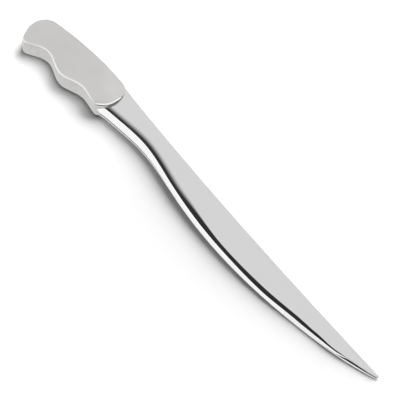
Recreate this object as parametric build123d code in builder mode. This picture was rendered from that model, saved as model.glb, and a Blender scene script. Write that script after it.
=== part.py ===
"""Letter opener: a polished steel blade whose tang is bonded and pinned inside a cast handle.

X runs from the butt of the handle to the tip of the blade, Y points from the cutting edge to the
back and Z points up. The origin lies on the flat underside, below the swell of the finger side.
"""
import os
from math import cos, radians, sin, tan

from build123d import *

# Main lengths: the handle from butt to nose, and the blade from there to its tip
handle_length = 56.55
blade_length = 163.2

# Handle seen from above: steps along X, from the swell back to a groove and ahead to the nose, and
# from the butt ahead to the heel and the crown
first_groove_run = 13.4
second_groove_run = 10.1
corner_run = 11.9
nose_run = 3.8
nose_cheek_run = 0.9
nose_lip_run = 0.3
nose_turn_run = 4.6
shoulder_run = 8.8
flank_run = 16.8
butt_upper_run = 0.15
butt_lower_run = 0.7
butt_turn_run = 2.25
heel_run = 5.85
crown_run = 8.05
toe_share = 0.43

# Handle seen from above: distances from its long axis, and the slopes where two curves meet
crown_reach = 8.0
butt_turn_reach = 6.35
butt_upper_reach = 2.8
butt_lower_reach = 2.4
heel_reach = 9.05
toe_reach = 7.0
first_groove_reach = 5.1
swell_reach = 8.85
second_groove_reach = 6.5
corner_reach = 8.1
corner_radius = 0.9
corner_slope = 0.06
crest_reach = 8.88
flank_reach = 8.47
shoulder_reach = 8.05
nose_turn_reach = 7.2
nose_cheek = 3.4
nose_lip = 3.9
nose_slope = 1.05

# Handle section: floor below the tang, roof above it, and softened rims
floor_wall = 1.6
roof_wall = 2.0
top_round = 0.7
base_round = 0.3

# Tang, its bond and its two pins: steps along X from the nose back to the end of the tang
pin_setback = 18.0
pin_spacing = 15.0
tang_tail = 3.0
tang_thickness = 2.6
tang_width = 6.4
tang_center = 1.2
tang_root = 0.5
tang_end_radius = 1.5
bond_gap = 0.15
pin_diameter = 2.5
pin_roof_bite = 0.9
pin_recess = 0.15
pin_chamfer = 0.25

# Blade seen from above: steps along X from the nose ahead and from the tip back, and how far the
# edge lies from the handle axis
neck_run = 6.2
throat_run = 16.0
recurve_run = 32.0
belly_run = 47.0
tip_run = 37.0
root_reach = 6.3
neck_reach = 5.9
throat_reach = 6.0
recurve_reach = 12.15
belly_reach = 17.0
fore_reach = 16.35
tip_reach = 10.1
tip_width = 1.05
spine_rise = 0.2
spine_sag = 1.75
spine_skew = 0.15
seat_margin = 2.0
seat_gap = 0.05

# Blade section: steel above the tang, thicknesses, and the widths and slope of the ground edge
tang_cover = 0.55
tip_thickness = 1.1
thickness_crown = 0.85
spine_chamfer = 0.4
spine_chamfer_limit = 0.4
facet_angle = 40.0
facet_width_root = 0.95
facet_width_waist = 1.35
facet_width_fore = 1.05
facet_width_tip = 0.1
facet_blend_root = 0.9
facet_blend_fore = 0.12
facet_setback = 12.0
bevel_width_root = 1.0
bevel_width_waist = 0.3
bevel_width_fore = 0.9
bevel_width_tip = 0.1
bevel_setback = 22.0
land_height = 0.5
land_tip = 0.8
station_count = 24

# Places along X and Z that follow from the sizes above
swell_x = 0.0
first_groove_x = swell_x - first_groove_run
second_groove_x = swell_x + second_groove_run
corner_x = second_groove_x + corner_run
nose_x = corner_x + nose_run
butt_x = nose_x - handle_length
nose_turn_x = nose_x - nose_turn_run
front_pin_x = nose_x - pin_setback
rear_pin_x = front_pin_x - pin_spacing
tang_end_x = rear_pin_x - tang_tail
root_x = nose_turn_x - seat_margin
neck_x = nose_x + neck_run
throat_x = neck_x + throat_run
recurve_x = throat_x + recurve_run
belly_x = recurve_x + belly_run
tip_x = nose_x + blade_length
fore_x = tip_x - tip_run
facet_end_x = tip_x - facet_setback
bevel_end_x = tip_x - bevel_setback
tang_bottom = floor_wall + bond_gap
tang_top = tang_bottom + tang_thickness
socket_top = tang_top + bond_gap
pin_top = socket_top + pin_roof_bite
handle_thickness = socket_top + roof_wall
root_thickness = tang_top + tang_cover


def handle_plan(plane):
    """Outline of the handle: round butt, two finger grooves, and a nose that bulges to the blade."""
    crown = (butt_x + crown_run, crown_reach)
    flank = (nose_x - flank_run, flank_reach)
    crest = ((crown[0] + flank[0]) / 2, crest_reach)
    heel_x = butt_x + heel_run
    corner = (corner_x, -corner_reach)
    with BuildSketch(plane) as plan:
        with BuildLine():
            back = ThreePointArc(flank, crest, crown)
            Spline(
                crown,
                (butt_x + butt_turn_run, butt_turn_reach),
                (butt_x + butt_upper_run, butt_upper_reach),
                (butt_x + butt_lower_run, -butt_lower_reach),
                (heel_x, -heel_reach),
                (mix(heel_x, first_groove_x, toe_share), -toe_reach),
                (first_groove_x, -first_groove_reach),
                (swell_x, -swell_reach),
                (second_groove_x, -second_groove_reach),
                corner,
                tangents=(back % 1, (1, -corner_slope)),
                tangent_scalars=(1, 1),
            )
            Spline(
                corner,
                (nose_x - nose_lip_run, -nose_lip),
                (nose_x, 0),
                (nose_x - nose_cheek_run, nose_cheek),
                (nose_turn_x, nose_turn_reach),
                (nose_x - shoulder_run, shoulder_reach),
                flank,
                tangents=(Vector(1, nose_slope).normalized(), back % 0),
                tangent_scalars=(1, 1),
            )
        make_face()
        fillet(plan.vertices().sort_by_distance(plane.from_local_coords(corner))[0], corner_radius)
    return plan.sketch


def tang_plan(plane, gap):
    """Outline of the tang, grown by a gap at its end and sides, from its end to inside the blade."""
    front_x = nose_x + tang_root
    rear_x = tang_end_x - gap
    with BuildSketch(plane) as plan:
        with Locations(((front_x + rear_x) / 2, tang_center)):
            Rectangle(front_x - rear_x, tang_width + 2 * gap)
        fillet(plan.vertices().group_by(Axis.X)[0], tang_end_radius + gap)
    return plan.sketch


def pin_plan():
    """Circles of the two pins."""
    with BuildSketch() as plan:
        with Locations((rear_pin_x, tang_center), (front_pin_x, tang_center)):
            Circle(pin_diameter / 2)
    return plan.sketch


def edge_line():
    """Cutting edge seen from above, from under the nose to the tip."""
    with BuildLine() as line:
        Spline(
            (root_x, -root_reach),
            (neck_x, -neck_reach),
            (throat_x, -throat_reach),
            (recurve_x, -recurve_reach),
            (belly_x, -belly_reach),
            (fore_x, -fore_reach),
            (tip_x, -tip_reach),
        )
    return line.edge()


def eased(x, start, end):
    """0 up to start, 1 from end on, with a smooth passage between the two."""
    t = min(max((x - start) / (end - start), 0.0), 1.0)
    return t * t * (3 - 2 * t)


def mix(a, b, t):
    """The value a share t of the way from a to b."""
    return a + (b - a) * t


def along(x, places, values):
    """Value at x of a size that passes smoothly from each place to the next."""
    steps = zip(values, values[1:], places, places[1:])
    return values[0] + sum((after - before) * eased(x, start, end) for before, after, start, end in steps)


def blade_section(x, edge_y):
    """Cross-section of the blade: eased spine, flat, falling facet, bevel and blunt land."""
    ahead = max((x - nose_x) / blade_length, 0.0)
    bow = (x - nose_turn_x) / (tip_x - nose_turn_x)
    sag = 4 * spine_sag * bow * (1 - bow) * (1 + spine_skew * (1 - 2 * bow))
    spine_y = mix(nose_turn_reach + spine_rise, tip_width - tip_reach, bow) - sag
    top = mix(root_thickness, tip_thickness, ahead) + 4 * thickness_crown * ahead * (1 - ahead)
    land = along(x, (fore_x, facet_end_x), (land_height, land_tip))
    bevel = along(
        x,
        (throat_x, recurve_x, belly_x, fore_x, bevel_end_x),
        (bevel_width_root, bevel_width_waist, bevel_width_waist, bevel_width_fore, bevel_width_tip),
    )
    facet = along(
        x,
        (nose_x, recurve_x, fore_x, facet_end_x),
        (facet_width_root, facet_width_waist, facet_width_fore, facet_width_tip),
    )
    blend = min(along(x, (recurve_x, belly_x), (facet_blend_root, facet_blend_fore)), facet)
    slope = radians(facet_angle)
    crease = (edge_y + bevel, top - facet * tan(slope))
    corner_y = edge_y + bevel + facet
    flat_end = (corner_y + blend, top)
    facet_start = (corner_y - blend * cos(slope), top - blend * sin(slope))
    rim = min(spine_chamfer, spine_chamfer_limit * (spine_y - flat_end[0]))
    with BuildSketch(Plane(origin=(x, 0, 0), x_dir=(0, 1, 0), z_dir=(1, 0, 0))) as section:
        with BuildLine():
            Polyline(
                (edge_y, land),
                (edge_y, 0),
                (spine_y, 0),
                (spine_y, top - rim),
                (spine_y - rim, top),
                flat_end,
            )
            TangentArc(flat_end, facet_start, tangent=(-1, 0))
            Polyline(facet_start, crease, (edge_y, land))
        make_face()
    return section.sketch.face()


def blade_sections():
    """Sections at even steps along the edge, from the root to the tip."""
    line = edge_line()
    sections = []
    for i in range(station_count):
        point = line.position_at(i / (station_count - 1))
        sections.append(blade_section(point.X, point.Y))
    return sections


os.makedirs("parts", exist_ok=True)

floor_plane = Plane.XY
socket_plane = Plane.XY.offset(floor_wall)
tang_plane = Plane.XY.offset(tang_bottom)
seat_plane = Plane((seat_gap, 0, -seat_margin))

with BuildPart() as blade:
    loft(blade_sections())
    extrude(handle_plan(seat_plane), amount=handle_thickness + 2 * seat_margin, mode=Mode.SUBTRACT)
    extrude(tang_plan(tang_plane, 0), amount=tang_thickness)
    extrude(pin_plan(), amount=pin_top, mode=Mode.SUBTRACT)
blade.part.label = "blade"
export_step(blade.part, "parts/blade.step")

with BuildPart() as handle:
    extrude(handle_plan(floor_plane), amount=handle_thickness)
    fillet(handle.faces().sort_by(Axis.Z)[-1].edges(), top_round)
    fillet(handle.faces().sort_by(Axis.Z)[0].edges(), base_round)
    extrude(tang_plan(socket_plane, bond_gap), amount=socket_top - floor_wall, mode=Mode.SUBTRACT)
    extrude(pin_plan(), amount=pin_top, mode=Mode.SUBTRACT)
handle.part.label = "handle"
export_step(handle.part, "parts/handle.step")

with BuildPart() as tang_adhesive:
    extrude(tang_plan(socket_plane, bond_gap), amount=socket_top - floor_wall)
    extrude(handle_plan(floor_plane), amount=handle_thickness, mode=Mode.INTERSECT)
    extrude(tang_plan(tang_plane, 0), amount=tang_thickness, mode=Mode.SUBTRACT)
    extrude(pin_plan(), amount=pin_top, mode=Mode.SUBTRACT)
tang_adhesive.part.label = "tang_adhesive"
export_step(tang_adhesive.part, "parts/tang_adhesive.step")

for place, pin_x in (("rear", rear_pin_x), ("front", front_pin_x)):
    with BuildPart() as tang_pin:
        with BuildSketch(Plane.XY.offset(pin_recess)):
            with Locations((pin_x, tang_center)):
                Circle(pin_diameter / 2)
        extrude(amount=pin_top - pin_recess)
        chamfer(tang_pin.edges().filter_by(GeomType.CIRCLE), pin_chamfer)
    tang_pin.part.label = f"tang_pin_{place}"
    export_step(tang_pin.part, f"parts/tang_pin_{place}.step")
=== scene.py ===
from math import cos, pi, radians, sin, tan

import bpy
import numpy as np
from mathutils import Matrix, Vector


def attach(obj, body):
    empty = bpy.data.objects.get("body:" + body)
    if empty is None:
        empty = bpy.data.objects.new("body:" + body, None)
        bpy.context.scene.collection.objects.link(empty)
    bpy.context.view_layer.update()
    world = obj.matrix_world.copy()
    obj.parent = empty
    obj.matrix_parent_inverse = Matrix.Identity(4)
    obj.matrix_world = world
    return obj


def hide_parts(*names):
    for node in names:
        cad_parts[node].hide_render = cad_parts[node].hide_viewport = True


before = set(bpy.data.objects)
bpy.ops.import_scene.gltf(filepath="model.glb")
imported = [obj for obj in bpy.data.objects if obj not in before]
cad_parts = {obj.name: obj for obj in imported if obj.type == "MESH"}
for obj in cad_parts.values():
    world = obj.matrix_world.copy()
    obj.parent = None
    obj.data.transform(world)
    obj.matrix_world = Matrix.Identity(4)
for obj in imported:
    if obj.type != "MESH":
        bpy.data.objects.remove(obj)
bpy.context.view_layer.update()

MM = 0.001

# Handle seen from above, in millimetres, as in the solids: an arc for the back, then from its rear end
# round the butt and the finger side to the corner, then over the nose to the arc's front end. The slopes
# are the two lines' directions at the corner, and its rounding reaches as far as the cut along each.
BACK_ARC = ((9.0, 8.47), (-6.85, 8.88), (-22.7, 8.0))
FINGER_POINTS = (
    (-22.7, 8.0), (-28.5, 6.35), (-30.6, 2.8), (-30.05, -2.4), (-24.9, -9.05),
    (-19.955, -7.0), (-13.4, -5.1), (0.0, -8.85), (10.1, -6.5), (22.0, -8.1),
)
NOSE_POINTS = (
    (22.0, -8.1), (25.5, -3.9), (25.8, 0.0), (24.9, 3.4), (21.3, 7.4), (17.0, 8.25), (9.0, 8.47),
)
CORNER_SLOPES = ((1.0, -0.06), (1.0, 1.05))
CORNER_CUT = 0.42
CORNER_STEPS = 12
OUTLINE_STEP = 0.2

# Middle line of the handle, where the lines over its floor and its top end, in millimetres
AXIS_X = (-22.0, 20.0)
AXIS_STEP = 0.5

# Handle section, in millimetres. The wall stands on a rounded foot and leans in along the finger side. The
# top falls towards the nose: a short roll-off by the finger side passes into a long ramp by the back, each
# as its drop and its reach. The ramp ends level with the blade. The nose faces forward up to NOSE_TURN_Y.
# The rings lie on the top, each as its distance from the rim, with a limit to their share of the way to
# the middle line.
HANDLE_HEIGHT = 6.5
BASE_RIM = 0.3
BASE_RIM_STEPS = 4
FINGER_LEAN = 0.3
NOSE_ROLL = (0.36, 2.5)
NOSE_RAMP = (1.57, 14.0)
NOSE_RAMP_Y = (-1.0, 6.5)
NOSE_TURN_Y = 7.2
TOP_RINGS = (0.4, 0.8, 1.3, 1.9, 2.6, 3.5, 4.6, 6.0)
TOP_RING_LIMIT = 0.9

# Rim of the handle, each as its width and its drop, in millimetres: a steep, buffed facet along the finger
# side that fades towards the nose, a small facet at the nose that takes no more than a share of the step
# down to the blade, and a broken edge elsewhere that all but ends where the top comes down to the blade
FINGER_RIM = (0.36, 0.62)
FINGER_RIM_Y = (-2.0, -6.0)
FINGER_RIM_FADE = 0.8
FINGER_RIM_FADE_X = (8.0, 22.0)
NOSE_RIM = (0.3, 0.52)
NOSE_RIM_X = (21.0, 23.5)
NOSE_RIM_SHARE = 0.45
PLAIN_RIM = (0.1, 0.1)
PLAIN_RIM_FADE = 0.85
PLAIN_RIM_FADE_X = (13.0, 20.0)
PLAIN_RIM_FADE_Y = (0.0, 6.0)

# Joint of the nose and the blade, in millimetres: a groove under the nose's rim, in full where the step
# down to the blade is JOINT_FULL_STEP high, and left out below a least share. Its two heights are for the
# free corner and for the wall over the blade. The groove is coloured near black as painted shade, and the
# wall below it has a faint painted shade that starts behind the blade, out of sight.
JOINT_FULL_STEP = 1.2
JOINT_LEAST = 0.06
JOINT_HEIGHT = (0.42, 0.2)
JOINT_DEPTH = 0.3
JOINT_GUARD = 0.03
OVER_BLADE_Y = (-6.0, -5.0)
WALL_SHADE = 0.2
WALL_SHADE_FOOT = 4.4

# Wedge of polish on the nose wall, each side as the direction into it and where it starts, in millimetres
WEDGE_SIDES = (
    ((1.0, 0.0, 0.0), 21.8),
    ((0.0, 0.317, -1.0), -5.71),
    ((0.0, 2.106, 1.0), -12.87),
    ((0.0, -1.0, 0.0), 4.5),
    ((0.0, 0.0, 1.0), 1.0),
)
WEDGE_SOFT = 0.12

# Holes of the two pins in the underside of the handle, in millimetres, as in the solids but a hair wider
# than the pins, so that the two share no face
PIN_PLACES = ((-7.2, 1.2), (7.8, 1.2))
PIN_HOLE_RADIUS = 1.28
PIN_HOLE_Z = (-1.0, 5.4)
PIN_HOLE_STEPS = 48

# Blade seen from above, in millimetres, within a few tenths of the solids: an edge, and a spine that bows
# in between its two ends, a little more towards the root. Both have a small flare at the root.
NOSE_X = 25.8
TIP_X = 189.0
EDGE_POINTS = (
    (19.2, -6.65), (32.0, -6.25), (48.0, -6.25), (80.0, -12.1),
    (127.0, -17.0), (152.0, -16.2), (170.0, -14.3), (189.0, -10.1),
)
ROOT_FLARE = 0.4
ROOT_FLARE_X = (22.6, 26.4)
SPINE_START_X = 21.2
SPINE_ENDS = (7.4, -8.98)
SPINE_SAG = 1.97
SPINE_SKEW = 0.15
SPINE_FLARE = 0.1
SPINE_FLARE_X = (21.0, 30.0)

# Thickness of the blade at the nose and at the tip, with a crown between them, in millimetres. Its root
# keeps a small gap from the nose, found in a few rounds, and its underside is a hair up, so that it shares
# no plane with the handle's.
THICKNESS = (4.9, 0.95)
THICKNESS_CROWN = 0.85
SEAT_GAP = 0.05
SEAT_ROUNDS = 12
UNDERSIDE = 0.03

# Blade section, in millimetres and degrees, at places along X from the root to the tip. From the edge up
# come the upright land, the ease above it, the steep bevel and the shoulder, which is the facet beside the
# flat: a long round near the root, a crisp facet from the belly on.
SECTION_X = (26.0, 48.0, 74.0, 111.0, 133.0, 152.0, 160.0, 171.0, 177.0, 189.0)
LAND_HEIGHT = (0.6, 0.6, 0.55, 0.5, 0.5, 0.5, 0.5, 0.5, 0.75, 0.5)
EASE_WIDTH = (0.28, 0.25, 0.08, 0.02, 0.02, 0.02, 0.03, 0.12, 0.6, 0.36)
EASE_TILT = radians(40.0)
BEVEL_WIDTH = (0.85, 1.05, 0.4, 0.42, 0.28, 0.85, 0.7, 0.12, 0.02, 0.02)
BEVEL_LEAST_TILT = radians(52.0)
SHOULDER_WIDTH = (1.8, 2.0, 2.05, 1.08, 1.25, 1.03, 0.8, 0.42, 0.06, 0.04)
SHOULDER_TILT = (20.1, 19.8, 19.2, 40.0, 40.0, 40.0, 40.0, 40.0, 40.0, 40.0)
SHOULDER_BLEND = (1.8, 2.0, 2.0, 0.15, 0.12, 0.1, 0.1, 0.08, 0.04, 0.03)

# Roundings of the section's corners, in millimetres, and the share of a side that one may take. The spine's
# reaches across the flat and down the back. On the shoulder, between the crease and the flat, the crease
# leaves most of the side to the blend. A guard line just past each rounding keeps the rest of the side flat.
SPINE_ROUND = (1.1, 0.35)
SPINE_ROUND_SHARE = 0.4
CREASE_ROUND = 0.05
FOOT_ROUND = 0.06
ROUND_STEPS = 7
ROUND_GUARD = 0.03
ROUND_LIMIT = 0.4
GUARD_LIMIT = 0.05
CREASE_CORNER = 3
FLAT_CORNER = 4
SHOULDER_LIMITS = {(CREASE_CORNER, 1): 0.08, (FLAT_CORNER, 0): 0.8}

# Round end of the tip, in millimetres, and the number of sections along the blade
TIP_ROUND = 0.7
TIP_STEPS = 8
STATIONS = 280

# Edges turned by more than this stay sharp, and points closer than the seam, in metres, become one
SHARP_ANGLE = radians(25.0)
SEAM = 1e-6


def linear(code):
    """Linear colour of an sRGB hex value."""
    parts = [int(code[i:i + 2], 16) / 255 for i in (1, 3, 5)]
    return (*[c / 12.92 if c <= 0.04045 else ((c + 0.055) / 1.055) ** 2.4 for c in parts], 1.0)


def add_node(tree, kind, inputs=None, **settings):
    """A new node with its settings; inputs gives its sockets values or other nodes' outputs."""
    node = tree.nodes.new(kind)
    for name, value in settings.items():
        setattr(node, name, value)
    for socket, value in (inputs or {}).items():
        if isinstance(value, bpy.types.NodeSocket):
            tree.links.new(value, node.inputs[socket])
        else:
            node.inputs[socket].default_value = value
    return node


def mix(a, b, share):
    """The value a share of the way from a to b."""
    return a + (b - a) * share


def eased(value, start, end):
    """0 up to start, 1 from end on, with a smooth passage between the two."""
    t = np.clip((np.asarray(value, float) - start) / (end - start), 0.0, 1.0)
    return t * t * (3 - 2 * t)


def end_slope(knots, points):
    """Slope, at the first point, of the polynomial through the given points."""
    slope = np.zeros(2)
    for i, point in enumerate(points):
        for j in range(len(points)):
            if j == i:
                continue
            rest = [k for k in range(len(points)) if k not in (i, j)]
            weight = np.prod([(knots[0] - knots[k]) / (knots[i] - knots[k]) for k in rest])
            slope += point * weight / (knots[i] - knots[j])
    return slope


def smooth_line(points, step, start=None, end=None):
    """Points about a step apart on the curve that the solids' splines draw through the given points."""
    points = np.asarray(points, float)
    knots = np.concatenate(([0.0], np.cumsum(np.linalg.norm(np.diff(points, axis=0), axis=1))))
    gaps = np.diff(knots)
    count = len(points)
    ends = [end_slope(knots[:4], points[:4]), end_slope(knots[::-1][:4], points[::-1][:4])]
    for place, direction in enumerate((start, end)):
        if direction is not None:
            ends[place] = np.array(direction) / np.linalg.norm(direction)
    matrix = np.eye(count)
    right = np.zeros((count, 2))
    right[0], right[-1] = ends
    for i in range(1, count - 1):
        before, after = gaps[i - 1], gaps[i]
        matrix[i, i - 1:i + 2] = after, 2 * (before + after), before
        rise, fall = points[i] - points[i - 1], points[i + 1] - points[i]
        right[i] = 3 * (after / before * rise + before / after * fall)
    slopes = np.linalg.solve(matrix, right)
    at = np.linspace(0.0, knots[-1], int(knots[-1] / step) + 2)
    piece = np.clip(np.searchsorted(knots, at) - 1, 0, count - 2)
    gap = gaps[piece][:, None]
    t = (at - knots[piece])[:, None] / gap
    return (
        (1 + 2 * t) * (1 - t) ** 2 * points[piece]
        + t * (1 - t) ** 2 * gap * slopes[piece]
        + t * t * (3 - 2 * t) * points[piece + 1]
        + t * t * (t - 1) * gap * slopes[piece + 1]
    )


def rounded_joint(first, second, cut, steps):
    """Two lines that meet in a corner, as one line with the corner rounded off."""
    corner = first[-1]
    first = first[np.linalg.norm(first - corner, axis=1) > cut]
    second = second[np.linalg.norm(second - corner, axis=1) > cut]
    t = np.linspace(0.0, 1.0, steps)[1:-1, None]
    turn = (1 - t) ** 2 * first[-1] + 2 * t * (1 - t) * corner + t * t * second[0]
    return np.concatenate((first, turn, second))


def arc_through(points, step):
    """Points about a step apart on the arc from the first of three points over the second to the third."""
    first, middle, last = (np.array(p) for p in points)
    sides = np.array((middle - first, last - middle))
    center = np.linalg.solve(sides, (sides * np.array((middle + first, last + middle)) / 2).sum(axis=1))
    start, end = (np.arctan2(*(p - center)[::-1]) for p in (first, last))
    radius = np.linalg.norm(first - center)
    angles = np.linspace(start, end, int(abs(end - start) * radius / step) + 2)
    return center + radius * np.stack((np.cos(angles), np.sin(angles)), axis=1)


def handle_outline():
    """Outline of the handle, once round from the rear end of its back, and the line of its nose alone."""
    back = arc_through(BACK_ARC, OUTLINE_STEP)
    finger_side = smooth_line(FINGER_POINTS, OUTLINE_STEP, back[-1] - back[-2], CORNER_SLOPES[0])
    nose = smooth_line(NOSE_POINTS, OUTLINE_STEP, CORNER_SLOPES[1], back[1] - back[0])
    front = rounded_joint(finger_side, nose, CORNER_CUT, CORNER_STEPS)
    return np.concatenate((front[:-1], back[:-1])), nose


def handle_rim(outline):
    """Width and drop of the rim at each point of the outline, the wall's lean and the nose's share."""
    at_nose = eased(outline[:, 0], *NOSE_RIM_X)
    at_finger = eased(outline[:, 1], *FINGER_RIM_Y)
    at_finger = at_finger * (1 - FINGER_RIM_FADE * eased(outline[:, 0], *FINGER_RIM_FADE_X))
    at_ramp = eased(outline[:, 0], *PLAIN_RIM_FADE_X) * eased(outline[:, 1], *PLAIN_RIM_FADE_Y)
    width, drop = (
        mix(mix(plain * (1 - PLAIN_RIM_FADE * at_ramp), finger, at_finger), blunt, at_nose)
        for plain, finger, blunt in zip(PLAIN_RIM, FINGER_RIM, NOSE_RIM)
    )
    return width, drop, FINGER_LEAN * at_finger * (1 - at_nose), at_nose


def handle_top(place, front):
    """Height of the handle's top at each place, from how far it lies behind the front of the nose."""
    behind = np.maximum(np.interp(place[:, 1], front[:, 1], front[:, 0]) - place[:, 0], 0.0)
    roll = NOSE_ROLL[0] * np.clip(1 - behind / NOSE_ROLL[1], 0.0, 1.0) ** 2
    ramp = NOSE_RAMP[0] * (1 - eased(behind, 0.0, NOSE_RAMP[1]))
    return HANDLE_HEIGHT - mix(roll, ramp, eased(place[:, 1], *NOSE_RAMP_Y))


def handle_lines(outline, nose):
    """Lines from the middle of the floor out to each point of the outline, up the wall, over the rim and
    along the top to the middle again, and the share of the joint's groove and its painted shade at each of
    their points."""
    tangent = np.roll(outline, -1, axis=0) - np.roll(outline, 1, axis=0)
    inward = np.stack((-tangent[:, 1], tangent[:, 0]), axis=1) / np.linalg.norm(tangent, axis=1)[:, None]
    middle = np.zeros_like(outline)
    middle[:, 0] = np.round(np.clip(outline[:, 0], *AXIS_X) / AXIS_STEP) * AXIS_STEP
    front = nose[:nose[:, 1].searchsorted(NOSE_TURN_Y)]

    width, drop, lean, at_nose = handle_rim(outline)
    edge = handle_top(outline + inward * width[:, None], front)
    step = edge - THICKNESS[0]
    drop = np.minimum(drop, np.where(at_nose > 0.5, NOSE_RIM_SHARE * step, drop))
    # Share of the joint's groove: it sets the groove's size and its painted shade, near black in the handle's
    # colour; shade is the faint painted shade on the wall below the groove, over the blade
    groove_and_painted_shade = np.clip(step / JOINT_FULL_STEP, 0.0, 1.0) * at_nose
    groove_and_painted_shade = np.where(groove_and_painted_shade < JOINT_LEAST, 0.0, groove_and_painted_shade)
    over_blade = eased(outline[:, 1], *OVER_BLADE_Y)
    roof = edge - drop - JOINT_GUARD
    foot = roof - mix(*JOINT_HEIGHT, over_blade) * groove_and_painted_shade
    depth = JOINT_DEPTH * groove_and_painted_shade
    shade = WALL_SHADE * groove_and_painted_shade * over_blade

    none = np.zeros_like(edge)
    turns = np.linspace(0.0, pi / 2, BASE_RIM_STEPS)
    wall = [(none + BASE_RIM * (1 - sin(t)), none + BASE_RIM * (1 - cos(t)), none) for t in turns]
    wall += [
        (none, none + WALL_SHADE_FOOT - JOINT_GUARD, none),
        (none, none + WALL_SHADE_FOOT, shade),
        (none, foot, shade),
        (depth, foot, groove_and_painted_shade),
        (depth, roof, groove_and_painted_shade),
        (none, roof, none),
        (none, edge - drop, none),
    ]
    lines = [(middle, none, none)]
    for inset, height, share in wall:
        leaning = inset + lean * height / HANDLE_HEIGHT
        lines.append((outline + inward * leaning[:, None], height, share))

    start = outline + inward * (width + lean)[:, None]
    reach = np.linalg.norm(middle - start, axis=1)[:, None]
    shares = [np.minimum(ring / reach, TOP_RING_LIMIT * ring / TOP_RINGS[-1]) for ring in TOP_RINGS]
    for place in (start, *[mix(start, middle, share) for share in shares], middle):
        lines.append((place, handle_top(place, front), none))
    points = [np.concatenate((place, height[:, None]), axis=1) for place, height, _ in lines]
    return np.stack(points, axis=1), np.stack([share for _, _, share in lines], axis=1)


def along(x, values):
    """Value at each x of a size that passes smoothly from each of the section's places to the next."""
    result = np.full_like(x, values[0])
    for i in range(len(values) - 1):
        result += (values[i + 1] - values[i]) * eased(x, SECTION_X[i], SECTION_X[i + 1])
    return result


def section_corners(x, edge_line):
    """Corners of the blade's section at each x, from the foot of the land over the top to the spine's
    foot, and how far before and after each corner its rounding reaches."""
    ahead = np.maximum((x - NOSE_X) / (TIP_X - NOSE_X), 0.0)
    bow = (x - SPINE_START_X) / (TIP_X - SPINE_START_X)
    edge = np.interp(x, edge_line[:, 0], edge_line[:, 1]) - ROOT_FLARE * (1 - eased(x, *ROOT_FLARE_X))
    sag = 4 * SPINE_SAG * bow * (1 - bow) * (1 + SPINE_SKEW * (1 - 2 * bow))
    spine = mix(*SPINE_ENDS, bow) - sag + SPINE_FLARE * (1 - eased(x, *SPINE_FLARE_X))
    top = mix(*THICKNESS, ahead) + 4 * THICKNESS_CROWN * ahead * (1 - ahead)
    shoulder = along(x, SHOULDER_WIDTH)
    blend = along(x, SHOULDER_BLEND)
    ease = along(x, EASE_WIDTH)
    land = along(x, LAND_HEIGHT)
    ease_top = land + ease * tan(EASE_TILT)
    crease = top - shoulder * np.tan(np.radians(along(x, SHOULDER_TILT)))
    bevel = np.minimum(along(x, BEVEL_WIDTH), (crease - ease_top) / tan(BEVEL_LEAST_TILT))
    flat = edge + ease + bevel + shoulder
    spine_share = np.minimum(1.0, SPINE_ROUND_SHARE * (spine - flat - blend) / SPINE_ROUND[0])
    level = np.full_like(x, UNDERSIDE)
    points = (
        (edge, level),
        (edge, land),
        (edge + ease, ease_top),
        (edge + ease + bevel, crease),
        (flat, top),
        (spine, top),
        (spine, level),
    )
    small = (np.full_like(x, CREASE_ROUND),) * 2
    foot = (np.full_like(x, FOOT_ROUND),) * 2
    spine_round = (spine_share * SPINE_ROUND[0], spine_share * SPINE_ROUND[1])
    rounds = (foot, small, small, small, (blend, blend), spine_round, foot)
    return np.moveaxis(np.array(points), 2, 0), np.moveaxis(np.array(rounds), 2, 0)


def section_points(x, edge_line):
    """Section of the blade at each x, once round, with every corner rounded and guarded by a line on
    each side, so that the polish stays flat between the corners."""
    corners, rounds = section_corners(x, edge_line)
    count = corners.shape[1]
    t = np.linspace(0.0, 1.0, ROUND_STEPS)[None, :, None]
    rows = []
    for i in range(count):
        here = corners[:, i]
        legs = []
        for side, other in enumerate((corners[:, i - 1], corners[:, (i + 1) % count])):
            length = np.linalg.norm(other - here, axis=1)[:, None]
            limit = SHOULDER_LIMITS.get((i, side), ROUND_LIMIT)
            reach = np.minimum(rounds[:, i, side, None], limit * length)
            guard = np.minimum(reach + ROUND_GUARD, (limit + GUARD_LIMIT) * length)
            legs.append([here + (other - here) / length * far for far in (reach, guard)])
        (start, before), (end, after) = legs
        bend = (1 - t) ** 2 * start[:, None] + 2 * t * (1 - t) * here[:, None] + t * t * end[:, None]
        rows.append(np.concatenate((before[:, None], bend, after[:, None]), axis=1))
    return np.concatenate(rows, axis=1)


def blade_lines(nose):
    """Lines that run the length of the blade, each from the nose to the tip, closed at both ends, and the
    share of the groove and its painted shade at each of their points, which is none."""
    edge_line = smooth_line(EDGE_POINTS, OUTLINE_STEP)
    tip_start = TIP_X - TIP_ROUND
    tip_ring = section_points(np.array([tip_start]), edge_line)[0]
    tip_middle = (tip_ring.max(axis=0) + tip_ring.min(axis=0)) / 2
    count = len(tip_ring)
    by_y = nose[np.argsort(nose[:, 1])]
    start = np.full(count, NOSE_X)
    for _ in range(SEAT_ROUNDS):
        y = section_points(start, edge_line)[np.arange(count), np.arange(count), 0]
        start = np.interp(y, by_y[:, 1], by_y[:, 0]) + SEAT_GAP
    turn = np.linspace(0.0, pi / 2, TIP_STEPS)[1:]
    reach = np.concatenate((np.linspace(0.0, 1.0, STATIONS), np.ones(TIP_STEPS - 1)))
    swell = np.concatenate((np.ones(STATIONS), np.cos(turn)))
    lines = []
    for k in range(count):
        x = start[k] + (tip_start - start[k]) * reach
        y, z = section_points(x, edge_line)[:, k].T
        x[STATIONS:] += TIP_ROUND * np.sin(turn)
        lines.append(np.stack((x, mix(tip_middle[0], y, swell), mix(tip_middle[1], z, swell)), axis=1))
    lines = np.array(lines)
    root = lines[:, :1].mean(axis=0, keepdims=True).repeat(count, axis=0)
    lines = np.concatenate((root, lines), axis=1)[::-1]
    return lines, np.zeros(lines.shape[:2])


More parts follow.
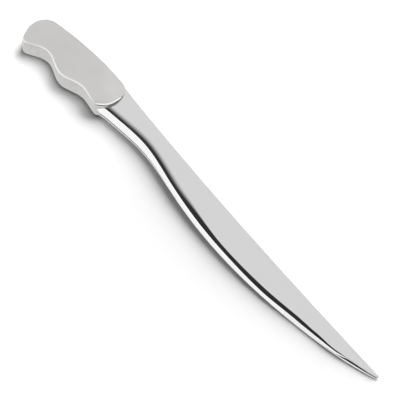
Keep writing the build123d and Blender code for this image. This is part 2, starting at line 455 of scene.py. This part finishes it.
def curve_object(name, lines, groove_and_painted_shade_shares):
    """Curve of straight runs through the lines' points, in millimetres, the painted shade's shares as radii.
    """
    data = bpy.data.curves.new(name, "CURVE")
    data.dimensions = "3D"
    for line, groove_and_painted_shade in zip(lines, groove_and_painted_shade_shares):
        spline = data.splines.new("POLY")
        spline.points.add(len(line) - 1)
        points = np.concatenate((np.asarray(line) * MM, np.ones((len(line), 1))), axis=1)
        spline.points.foreach_set("co", points.ravel())
        spline.points.foreach_set("radius", groove_and_painted_shade)
    piece = bpy.data.objects.new(name, data)
    bpy.context.scene.collection.objects.link(piece)
    return piece


def new_tree(name, sizes):
    """Geometry Nodes tree with one named input for each size, and the outputs of its first node."""
    tree = bpy.data.node_groups.new(name, "GeometryNodeTree")
    tree.interface.new_socket("Geometry", in_out="INPUT", socket_type="NodeSocketGeometry")
    for label, kind in sizes.items():
        tree.interface.new_socket(label, in_out="INPUT", socket_type=kind)
    tree.interface.new_socket("Geometry", in_out="OUTPUT", socket_type="NodeSocketGeometry")
    return tree, add_node(tree, "NodeGroupInput").outputs


def finish_tree(tree, shape, material):
    """The tree's last nodes: merged seams, real geometry and the material."""
    merged = add_node(tree, "GeometryNodeMergeByDistance", {"Geometry": shape, "Distance": SEAM})
    real = add_node(tree, "GeometryNodeRealizeInstances", {"Geometry": merged.outputs[0]})
    dressed = add_node(tree, "GeometryNodeSetMaterial", {"Geometry": real.outputs[0], "Material": material})
    add_node(tree, "NodeGroupOutput", {"Geometry": dressed.outputs[0]})


def skin_tree():
    """Tree that lays a skin over lines of equally many points, in their order round the piece."""
    tree, given = new_tree("skin", {
        "Lines": "NodeSocketInt",
        "Stations": "NodeSocketInt",
        "Material": "NodeSocketMaterial",
    })
    rows = add_node(tree, "ShaderNodeMath", {0: given["Lines"], 1: 1.0}, operation="ADD")
    total = add_node(tree, "ShaderNodeMath", {0: given["Lines"], 1: given["Stations"]}, operation="MULTIPLY")
    grid = add_node(tree, "GeometryNodeMeshGrid", {
        "Size X": 1.0, "Size Y": 1.0, "Vertices X": rows.outputs[0], "Vertices Y": given["Stations"],
    })
    # Each point of the grid takes the place and the share of the line's point of the same number; the last
    # row takes those of the first line again
    index = add_node(tree, "GeometryNodeInputIndex").outputs[0]
    wrapped = add_node(tree, "ShaderNodeMath", {0: index, 1: total.outputs[0]}, operation="MODULO")
    found = []
    for kind, field in (("FLOAT_VECTOR", "GeometryNodeInputPosition"), ("FLOAT", "GeometryNodeInputRadius")):
        value = add_node(tree, field).outputs[0]
        sample = add_node(tree, "GeometryNodeSampleIndex", {
            "Geometry": given["Geometry"], "Value": value, "Index": wrapped.outputs[0],
        }, data_type=kind, domain="POINT")
        found.append(sample.outputs[0])
    place, share = found
    # The shares go onto the points as an attribute, for the painted shade in the handle's colour
    marked = add_node(tree, "GeometryNodeStoreNamedAttribute", {
        "Geometry": grid.outputs[0], "Name": "groove_and_painted_shade", "Value": share,
    }, data_type="FLOAT", domain="POINT")
    skin = add_node(tree, "GeometryNodeSetPosition", {"Geometry": marked.outputs[0], "Position": place})
    smooth = add_node(tree, "GeometryNodeSetShadeSmooth", {"Geometry": skin.outputs[0], "Shade Smooth": True})
    finish_tree(tree, smooth.outputs[0], given["Material"])
    return tree


def grown(piece, tree, sizes):
    """Plain mesh object, of the piece's name, that the tree makes of the piece."""
    modifier = piece.modifiers.new("grow", "NODES")
    modifier.node_group = tree
    for item in tree.interface.items_tree:
        if item.in_out == "INPUT" and item.name in sizes:
            modifier[item.identifier] = sizes[item.name]
    graph = bpy.context.evaluated_depsgraph_get()
    mesh = bpy.data.meshes.new_from_object(piece.evaluated_get(graph))
    name = piece.name
    piece.modifiers.remove(modifier)
    bpy.data.objects.remove(piece)
    result = bpy.data.objects.new(name, mesh)
    bpy.context.scene.collection.objects.link(result)
    return result


def drill_pin_holes(piece, finish):
    """Cut the pins' holes into the underside of the piece, and give all of it the finish."""
    turns = np.linspace(0.0, 2 * pi, PIN_HOLE_STEPS, endpoint=False)
    circle = PIN_HOLE_RADIUS * np.stack((np.cos(turns), np.sin(turns)), axis=1)
    low = list(range(PIN_HOLE_STEPS))
    high = [i + PIN_HOLE_STEPS for i in low]
    wall = list(zip(low, low[1:] + low[:1], high[1:] + high[:1], high))
    for centre in PIN_PLACES:
        points = [(*at, z) for z in PIN_HOLE_Z for at in circle + centre]
        mesh = bpy.data.meshes.new("drill")
        mesh.from_pydata(np.array(points) * MM, [], wall + [low[::-1], high])
        drill = bpy.data.objects.new("drill", mesh)
        bpy.context.scene.collection.objects.link(drill)
        cut = piece.modifiers.new("hole", "BOOLEAN")
        cut.operation = "DIFFERENCE"
        cut.object = drill
        graph = bpy.context.evaluated_depsgraph_get()
        whole = piece.data
        piece.data = bpy.data.meshes.new_from_object(piece.evaluated_get(graph))
        piece.modifiers.remove(cut)
        bpy.data.objects.remove(drill)
        bpy.data.meshes.remove(whole)
    piece.data.materials.clear()
    piece.data.materials.append(finish)
    piece.data.polygons.foreach_set("material_index", np.zeros(len(piece.data.polygons), dtype=np.int32))


def new_material(name, values):
    """A new material with its node tree and its shader, whose sockets get the values."""
    material = bpy.data.materials.new(name)
    material.use_nodes = True
    shader = material.node_tree.nodes["Principled BSDF"]
    for socket, value in values.items():
        shader.inputs[socket].default_value = value
    return material, material.node_tree, shader


# Handle: cast metal, bead blasted to a satin, which gives the eye an even, slightly warm grey that blurs what
# it mirrors. The wall is filed in slanted lines, and darker than the top by painted shade that the slope
# picks;
# the top has faint clouds, the facets of the rim are buffed, and so is the wedge on the nose. The patterns'
# sizes are in millimetres; the real grain and filing lines are too fine to show, and are drawn this coarse so
# that they do. The slopes are those of the surface, as the upward part of its normal.
BLAST_GRAIN = 0.5
BLAST_DEPTH = 0.1
BLAST_STRENGTH = 0.05
FILED_LINES = (0.5, 1.0, 6.0)
FILED_SLANT = radians(30.0)
FILED_LEAST = 0.84
CLOUDS = 12.0
CLOUDS_LEAST = 0.95
MARK_LIMITS = (0.3, 0.7)
TOP_SLOPE = (0.1, 0.5)
RIM_SLOPE_LOW = (0.2, 0.35)
RIM_SLOPE_HIGH = (0.92, 0.8)
SATIN_ROUGHNESS = (0.3, 0.38)
RIM_ROUGHNESS = 0.22
WEDGE_ROUGHNESS = 0.06


def handle_marks(tree, place, on_top):
    """Share of the colour that the marks leave: filing lines on the wall, clouds on the top."""
    slanted = add_node(tree, "ShaderNodeMapping", {
        "Vector": place,
        "Rotation": (0.0, FILED_SLANT, 0.0),
        "Scale": [size * MM for size in FILED_LINES],
    }, vector_type="TEXTURE")
    filed = add_node(tree, "ShaderNodeTexNoise", {
        "Vector": slanted.outputs[0], "Scale": 1.0, "Detail": 2.0,
    })
    clouds = add_node(tree, "ShaderNodeTexNoise", {
        "Vector": place, "Scale": 1 / (CLOUDS * MM), "Detail": 2.0,
    })
    marks = add_node(tree, "ShaderNodeMix", {"Factor": on_top, "A": filed.outputs[0], "B": clouds.outputs[0]})
    least = add_node(tree, "ShaderNodeMix", {"Factor": on_top, "A": FILED_LEAST, "B": CLOUDS_LEAST})
    left = add_node(tree, "ShaderNodeMapRange", {
        "Value": marks.outputs[0],
        "From Min": MARK_LIMITS[0],
        "From Max": MARK_LIMITS[1],
        "To Min": least.outputs[0],
        "To Max": 1.0,
    })
    return left.outputs[0]


def handle_rim_share(tree, upward):
    """1 on the facets of the rim, which are neither as steep as the wall nor as level as the top, else 0."""
    share = 1.0
    for start, end in (RIM_SLOPE_LOW, RIM_SLOPE_HIGH):
        limit = add_node(tree, "ShaderNodeMapRange", {"Value": upward, "From Min": start, "From Max": end})
        product = add_node(tree, "ShaderNodeMath", {0: limit.outputs[0], 1: share}, operation="MULTIPLY")
        share = product.outputs[0]
    return share


def nose_wedge_share(tree, place):
    """1 in the wedge on the nose, where the polish of the bevel runs on over the corner, else 0."""
    share = 1.0
    for direction, start in WEDGE_SIDES:
        reach = add_node(tree, "ShaderNodeVectorMath", {0: place, 1: direction}, operation="DOT_PRODUCT")
        inside = add_node(tree, "ShaderNodeMapRange", {
            "Value": reach.outputs["Value"], "From Min": start * MM, "From Max": (start + WEDGE_SOFT) * MM,
        })
        product = add_node(tree, "ShaderNodeMath", {0: inside.outputs[0], 1: share}, operation="MULTIPLY")
        share = product.outputs[0]
    return share


def satin_handle_metal():
    """Bead blasted casting, with the marks, the buffed places, and the painted shade of the wall and the
    joint.
    """
    material, tree, shader = new_material("bead_blasted_casting", {"Metallic": 1.0})
    coordinates = add_node(tree, "ShaderNodeTexCoord").outputs
    place = coordinates["Object"]
    upward = add_node(tree, "ShaderNodeSeparateXYZ", {"Vector": coordinates["Normal"]}).outputs["Z"]
    on_top = add_node(tree, "ShaderNodeMapRange", {
        "Value": upward, "From Min": TOP_SLOPE[0], "From Max": TOP_SLOPE[1],
    }).outputs[0]
    wedge = nose_wedge_share(tree, place)

    # Colour: the top, and the wall made darker by painted shade, the marks on both, the bright wedge, and
    # the painted shade in the joint's groove and on the wall below it
    plain = add_node(tree, "ShaderNodeMix", {
        "Factor": on_top, "A": linear("#D2D1CF"), "B": linear("#F9F8F6"),
    }, data_type="RGBA")
    marked = add_node(tree, "ShaderNodeMix", {
        "Factor": 1.0, "A": plain.outputs["Result"], "B": handle_marks(tree, place, on_top),
    }, data_type="RGBA", blend_type="MULTIPLY")
    bright = add_node(tree, "ShaderNodeMix", {
        "Factor": wedge, "A": marked.outputs["Result"], "B": linear("#FDFDFD"),
    }, data_type="RGBA")
    # Painted shade: near black in the joint's groove, and a little darker on the wall below it
    groove_and_painted_shade = add_node(tree, "ShaderNodeAttribute", attribute_name="groove_and_painted_shade")
    tone = add_node(tree, "ShaderNodeMix", {
        "Factor": groove_and_painted_shade.outputs["Fac"], "A": bright.outputs["Result"], "B": linear("#242322"),
    }, data_type="RGBA")

    # Gloss: the satin and its grain, smoother on the rim and near a mirror in the wedge
    grain = add_node(tree, "ShaderNodeTexNoise", {
        "Vector": place, "Scale": 1 / (BLAST_GRAIN * MM), "Detail": 2.0,
    })
    satin = add_node(tree, "ShaderNodeMapRange", {
        "Value": grain.outputs[0], "To Min": SATIN_ROUGHNESS[0], "To Max": SATIN_ROUGHNESS[1],
    })
    buffed = add_node(tree, "ShaderNodeMix", {
        "Factor": handle_rim_share(tree, upward), "A": satin.outputs[0], "B": RIM_ROUGHNESS,
    })
    rough = add_node(tree, "ShaderNodeMix", {"Factor": wedge, "A": buffed.outputs[0], "B": WEDGE_ROUGHNESS})
    bump = add_node(tree, "ShaderNodeBump", {
        "Height": grain.outputs[0], "Strength": BLAST_STRENGTH, "Distance": BLAST_DEPTH * MM,
    })
    tree.links.new(tone.outputs["Result"], shader.inputs["Base Color"])
    tree.links.new(rough.outputs[0], shader.inputs["Roughness"])
    tree.links.new(bump.outputs[0], shader.inputs["Normal"])
    return material


# Blade: stainless steel, buffed to a mirror, which gives the eye bright, crisp reflections with faint lines
# along the blade. The lines' length and width are in millimetres; real ones are too fine to show, and are
# drawn this coarse so that they do.
BUFFED_LINES = (40.0, 0.4, 0.4)
BUFFED_ROUGHNESS = (0.05, 0.1)


def polished_blade_steel():
    """Mirror polished stainless steel of the blade."""
    material, tree, shader = new_material("mirror_polished_stainless_steel", {
        "Base Color": linear("#F7F7F7"), "Metallic": 1.0,
    })
    place = add_node(tree, "ShaderNodeTexCoord").outputs["Object"]
    stretched = add_node(tree, "ShaderNodeMapping", {
        "Vector": place, "Scale": [1 / (size * MM) for size in BUFFED_LINES],
    })
    lines = add_node(tree, "ShaderNodeTexNoise", {
        "Vector": stretched.outputs[0], "Scale": 1.0, "Detail": 2.0,
    })
    rough = add_node(tree, "ShaderNodeMapRange", {
        "Value": lines.outputs[0], "To Min": BUFFED_ROUGHNESS[0], "To Max": BUFFED_ROUGHNESS[1],
    })
    tree.links.new(rough.outputs[0], shader.inputs["Roughness"])
    return material


# Pins: steel dowels, ground round, which gives the eye a plain, even grey of a low gloss. The size of the
# grain is in millimetres; the real one is too fine to show, and is drawn this coarse so that it does.
GROUND_GRAIN = 0.2
GROUND_ROUGHNESS = (0.25, 0.4)


def ground_pin_steel():
    """Ground steel of the two pins."""
    material, tree, shader = new_material("ground_steel_dowel", {
        "Base Color": linear("#C9C9C9"), "Metallic": 1.0,
    })
    place = add_node(tree, "ShaderNodeTexCoord").outputs["Object"]
    grain = add_node(tree, "ShaderNodeTexNoise", {
        "Vector": place, "Scale": 1 / (GROUND_GRAIN * MM), "Detail": 1.0,
    })
    rough = add_node(tree, "ShaderNodeMapRange", {
        "Value": grain.outputs[0], "To Min": GROUND_ROUGHNESS[0], "To Max": GROUND_ROUGHNESS[1],
    })
    tree.links.new(rough.outputs[0], shader.inputs["Roughness"])
    return material


# Bond of the tang: epoxy adhesive, cured, which gives the eye a dull straw-coloured film with soft clouds,
# their size in millimetres
BOND_CLOUDS = 2.0
BOND_ROUGHNESS = 0.35


def cured_epoxy():
    """Cured epoxy of the bond between the tang and its socket."""
    material, tree, shader = new_material("cured_epoxy", {"Roughness": BOND_ROUGHNESS})
    place = add_node(tree, "ShaderNodeTexCoord").outputs["Object"]
    clouds = add_node(tree, "ShaderNodeTexNoise", {
        "Vector": place, "Scale": 1 / (BOND_CLOUDS * MM), "Detail": 3.0,
    })
    tone = add_node(tree, "ShaderNodeMix", {
        "Factor": clouds.outputs[0], "A": linear("#B9AC8E"), "B": linear("#A2957A"),
    }, data_type="RGBA")
    tree.links.new(tone.outputs["Result"], shader.inputs["Base Color"])
    return material


# The pieces: the handle and the blade drawn anew, the pins and the bond as they are, with their finishes
outline, nose_line = handle_outline()
skin = skin_tree()
satin = satin_handle_metal()
pieces = []
for name, (lines, groove_and_painted_shade_shares), finish in (
    ("handle_body", handle_lines(outline, nose_line), satin),
    ("blade_body", blade_lines(nose_line), polished_blade_steel()),
):
    pieces.append(grown(curve_object(name, lines, groove_and_painted_shade_shares), skin, {
        "Lines": lines.shape[0], "Stations": lines.shape[1], "Material": finish,
    }))
handle, blade = pieces
drill_pin_holes(handle, satin)
for piece, node, slot_name in ((handle, "handle", "handle_metal"), (blade, "blade", "blade_steel")):
    piece.data.set_sharp_from_angle(angle=SHARP_ANGLE)
    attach(piece, "root")
    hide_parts(node)

pin_metal = ground_pin_steel()
bond = cured_epoxy()
for node, finish in (("tang_pin_rear", pin_metal), ("tang_pin_front", pin_metal), ("tang_adhesive", bond)):
    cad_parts[node].data.materials[0] = finish

# Camera of the photograph: its place and its target in millimetres, and its focal length and the width of
# the picture in pixels
CAMERA_PLACE = Vector((508.83, -345.95, 585.08))
CAMERA_TARGET = Vector((83.23, -4.57, 0.0))
FOCAL_LENGTH = 2121.5
PICTURE_WIDTH = 400
SENSOR = 36.0

scene = bpy.context.scene
scene.view_settings.view_transform = "Standard"
camera = bpy.data.objects.new("camera", bpy.data.cameras.new("camera"))
camera.data.sensor_width = SENSOR
camera.data.lens = SENSOR * FOCAL_LENGTH / PICTURE_WIDTH
camera.location = CAMERA_PLACE * MM
camera.rotation_euler = (CAMERA_TARGET - CAMERA_PLACE).to_track_quat("-Z", "Y").to_euler()
scene.collection.objects.link(camera)
scene.camera = camera

# Key: a broad soft light from the back of the opener, which the metals do not mirror
KEY_FROM = Vector((0.0, 0.94, 0.33))
KEY_STRENGTH = 8.0
KEY_ANGLE = radians(80.0)
key = bpy.data.objects.new("key_light", bpy.data.lights.new("key_light", "SUN"))
key.data.energy = KEY_STRENGTH
key.data.angle = KEY_ANGLE
key.visible_glossy = False
key.rotation_euler = KEY_FROM.to_track_quat("Z", "Y").to_euler()
scene.collection.objects.link(key)

# Fill: a small lamp over the handle, in millimetres and watts, which opens the deep end of its shadow and
# which the metals do not mirror
FILL_PLACE = Vector((-15.0, 22.0, 90.0))
FILL_TARGET = Vector((-15.0, -10.0, 0.0))
FILL_SIZE = 60.0
FILL_POWER = 0.0105
FILL_SPREAD = radians(70.0)
fill = bpy.data.objects.new("fill_lamp", bpy.data.lights.new("fill_lamp", "AREA"))
fill.data.energy = FILL_POWER
fill.data.size = FILL_SIZE * MM
fill.data.spread = FILL_SPREAD
fill.visible_glossy = False
fill.location = FILL_PLACE * MM
fill.rotation_euler = (FILL_TARGET - FILL_PLACE).to_track_quat("-Z", "Y").to_euler()
scene.collection.objects.link(fill)

# Room: a level for the table and one that the metals mirror, with cards in it. Each card has its level,
# whether it lights the table too, and its limits: an axis, and where the look along it enters the card,
# softly, from the first value to the second. The camera sees plain white.
UP = (0.0, 0.0, 1.0)
EDGE_SIDE = (-0.626, -0.780, 0.0)
TIP_SIDE = (1.0, 0.0, 0.0)
MIRROR_SIDE = (-0.532, 0.427, 0.731)
ROOM_LEVEL = (0.02, 0.35)
CARDS = (
    (0.705, True, ((MIRROR_SIDE, 0.70, 0.86),)),
    (0.03, True, ((EDGE_SIDE, 0.12, 0.42), (TIP_SIDE, 0.05, -0.12), (TIP_SIDE, -0.95, -0.85))),
    (0.94, False, ((EDGE_SIDE, 0.3, 0.6), (UP, 0.36, 0.28))),
    (1.05, False, ((TIP_SIDE, 0.25, 0.40), (UP, 0.52, 0.42))),
)
world = bpy.data.worlds.new("studio")
scene.world = world
world.use_nodes = True
tree = world.node_tree
tree.nodes.clear()
look = add_node(tree, "ShaderNodeTexCoord").outputs["Generated"]
ray = add_node(tree, "ShaderNodeLightPath").outputs
level = add_node(tree, "ShaderNodeMix", {
    "Factor": ray["Is Glossy Ray"], "A": ROOM_LEVEL[0], "B": ROOM_LEVEL[1],
}).outputs[0]
for card_level, lights_table, limits in CARDS:
    share = 1.0 if lights_table else ray["Is Glossy Ray"]
    for axis, start, end in limits:
        turn = add_node(tree, "ShaderNodeVectorMath", {0: look, 1: axis}, operation="DOT_PRODUCT")
        inside = add_node(tree, "ShaderNodeMapRange", {
            "Value": turn.outputs["Value"], "From Min": start, "From Max": end,
        }, interpolation_type="SMOOTHSTEP")
        product = add_node(tree, "ShaderNodeMath", {0: inside.outputs[0], 1: share}, operation="MULTIPLY")
        share = product.outputs[0]
    level = add_node(tree, "ShaderNodeMix", {"Factor": share, "A": level, "B": card_level}).outputs[0]
seen = add_node(tree, "ShaderNodeMix", {"Factor": ray["Is Camera Ray"], "A": level, "B": 1.0})
sky = add_node(tree, "ShaderNodeBackground", {"Color": (1.0, 1.0, 1.0, 1.0), "Strength": seen.outputs[0]})
add_node(tree, "ShaderNodeOutputWorld", {"Surface": sky.outputs[0]})

# Floor: a white table, its half width in metres, a hair below the opener. It keeps the shadow, the polish
# shows it plain white though it lights nothing by itself, and from below one looks through it.
FLOOR_HALF = 3.0
FLOOR_HEIGHT = -0.02 * MM
floor_mesh = bpy.data.meshes.new("floor")
corners = [(x * FLOOR_HALF, y * FLOOR_HALF, FLOOR_HEIGHT) for x, y in ((-1, -1), (1, -1), (1, 1), (-1, 1))]
floor_mesh.from_pydata(corners, [], [(0, 1, 2, 3)])
floor = bpy.data.objects.new("floor", floor_mesh)
scene.collection.objects.link(floor)
paint = bpy.data.materials.new("white_table")
paint.use_nodes = True
tree = paint.node_tree
tree.nodes.clear()
ray = add_node(tree, "ShaderNodeLightPath").outputs
mirrored = add_node(tree, "ShaderNodeMath", {
    0: ray["Is Glossy Ray"], 1: ray["Is Transmission Ray"],
}, operation="MAXIMUM")
direct = add_node(tree, "ShaderNodeMath", {0: ray["Diffuse Depth"], 1: 0.5}, operation="LESS_THAN")
shown = add_node(tree, "ShaderNodeMath", {0: mirrored.outputs[0], 1: direct.outputs[0]}, operation="MULTIPLY")
matt = add_node(tree, "ShaderNodeBsdfDiffuse", {"Color": linear("#F8F8F8")})
glow = add_node(tree, "ShaderNodeEmission", {"Strength": 1.0})
above = add_node(tree, "ShaderNodeMixShader", {0: shown.outputs[0], 1: matt.outputs[0], 2: glow.outputs[0]})
below = add_node(tree, "ShaderNodeBsdfTransparent")
behind = add_node(tree, "ShaderNodeNewGeometry").outputs["Backfacing"]
sided = add_node(tree, "ShaderNodeMixShader", {0: behind, 1: above.outputs[0], 2: below.outputs[0]})
add_node(tree, "ShaderNodeOutputMaterial", {"Surface": sided.outputs[0]})
floor_mesh.materials.append(paint)
